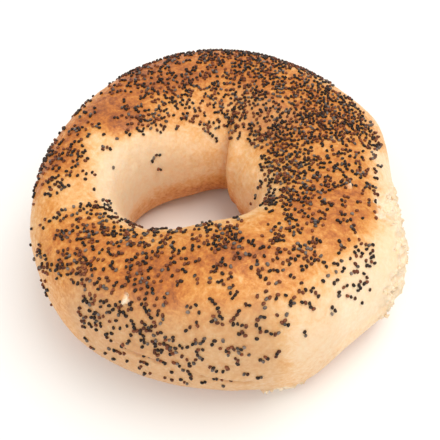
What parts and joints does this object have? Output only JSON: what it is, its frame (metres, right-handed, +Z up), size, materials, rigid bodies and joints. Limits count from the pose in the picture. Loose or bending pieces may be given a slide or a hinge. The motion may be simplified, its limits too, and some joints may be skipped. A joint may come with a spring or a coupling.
{
  "type": "bagel",
  "caption": "Whole ring-shaped bread bagel strewn with poppy seeds on its crown, with an off-centre hole, a flat baked underside and a rough torn patch on one side.",
  "frame": {"origin": "middle of the bagel's outline, on the surface that it lies on", "axes": "+Z up through the hole to the seeded crown, +X to the torn side, -Y to the front, where the crown is highest"},
  "size_m": [0.1018, 0.11, 0.0434],
  "materials": {
    "baked_crust": "satin baked crust"
  },
  "bodies": {
    "root": {"bagel": "baked_crust"}
  },
  "joints": []
}
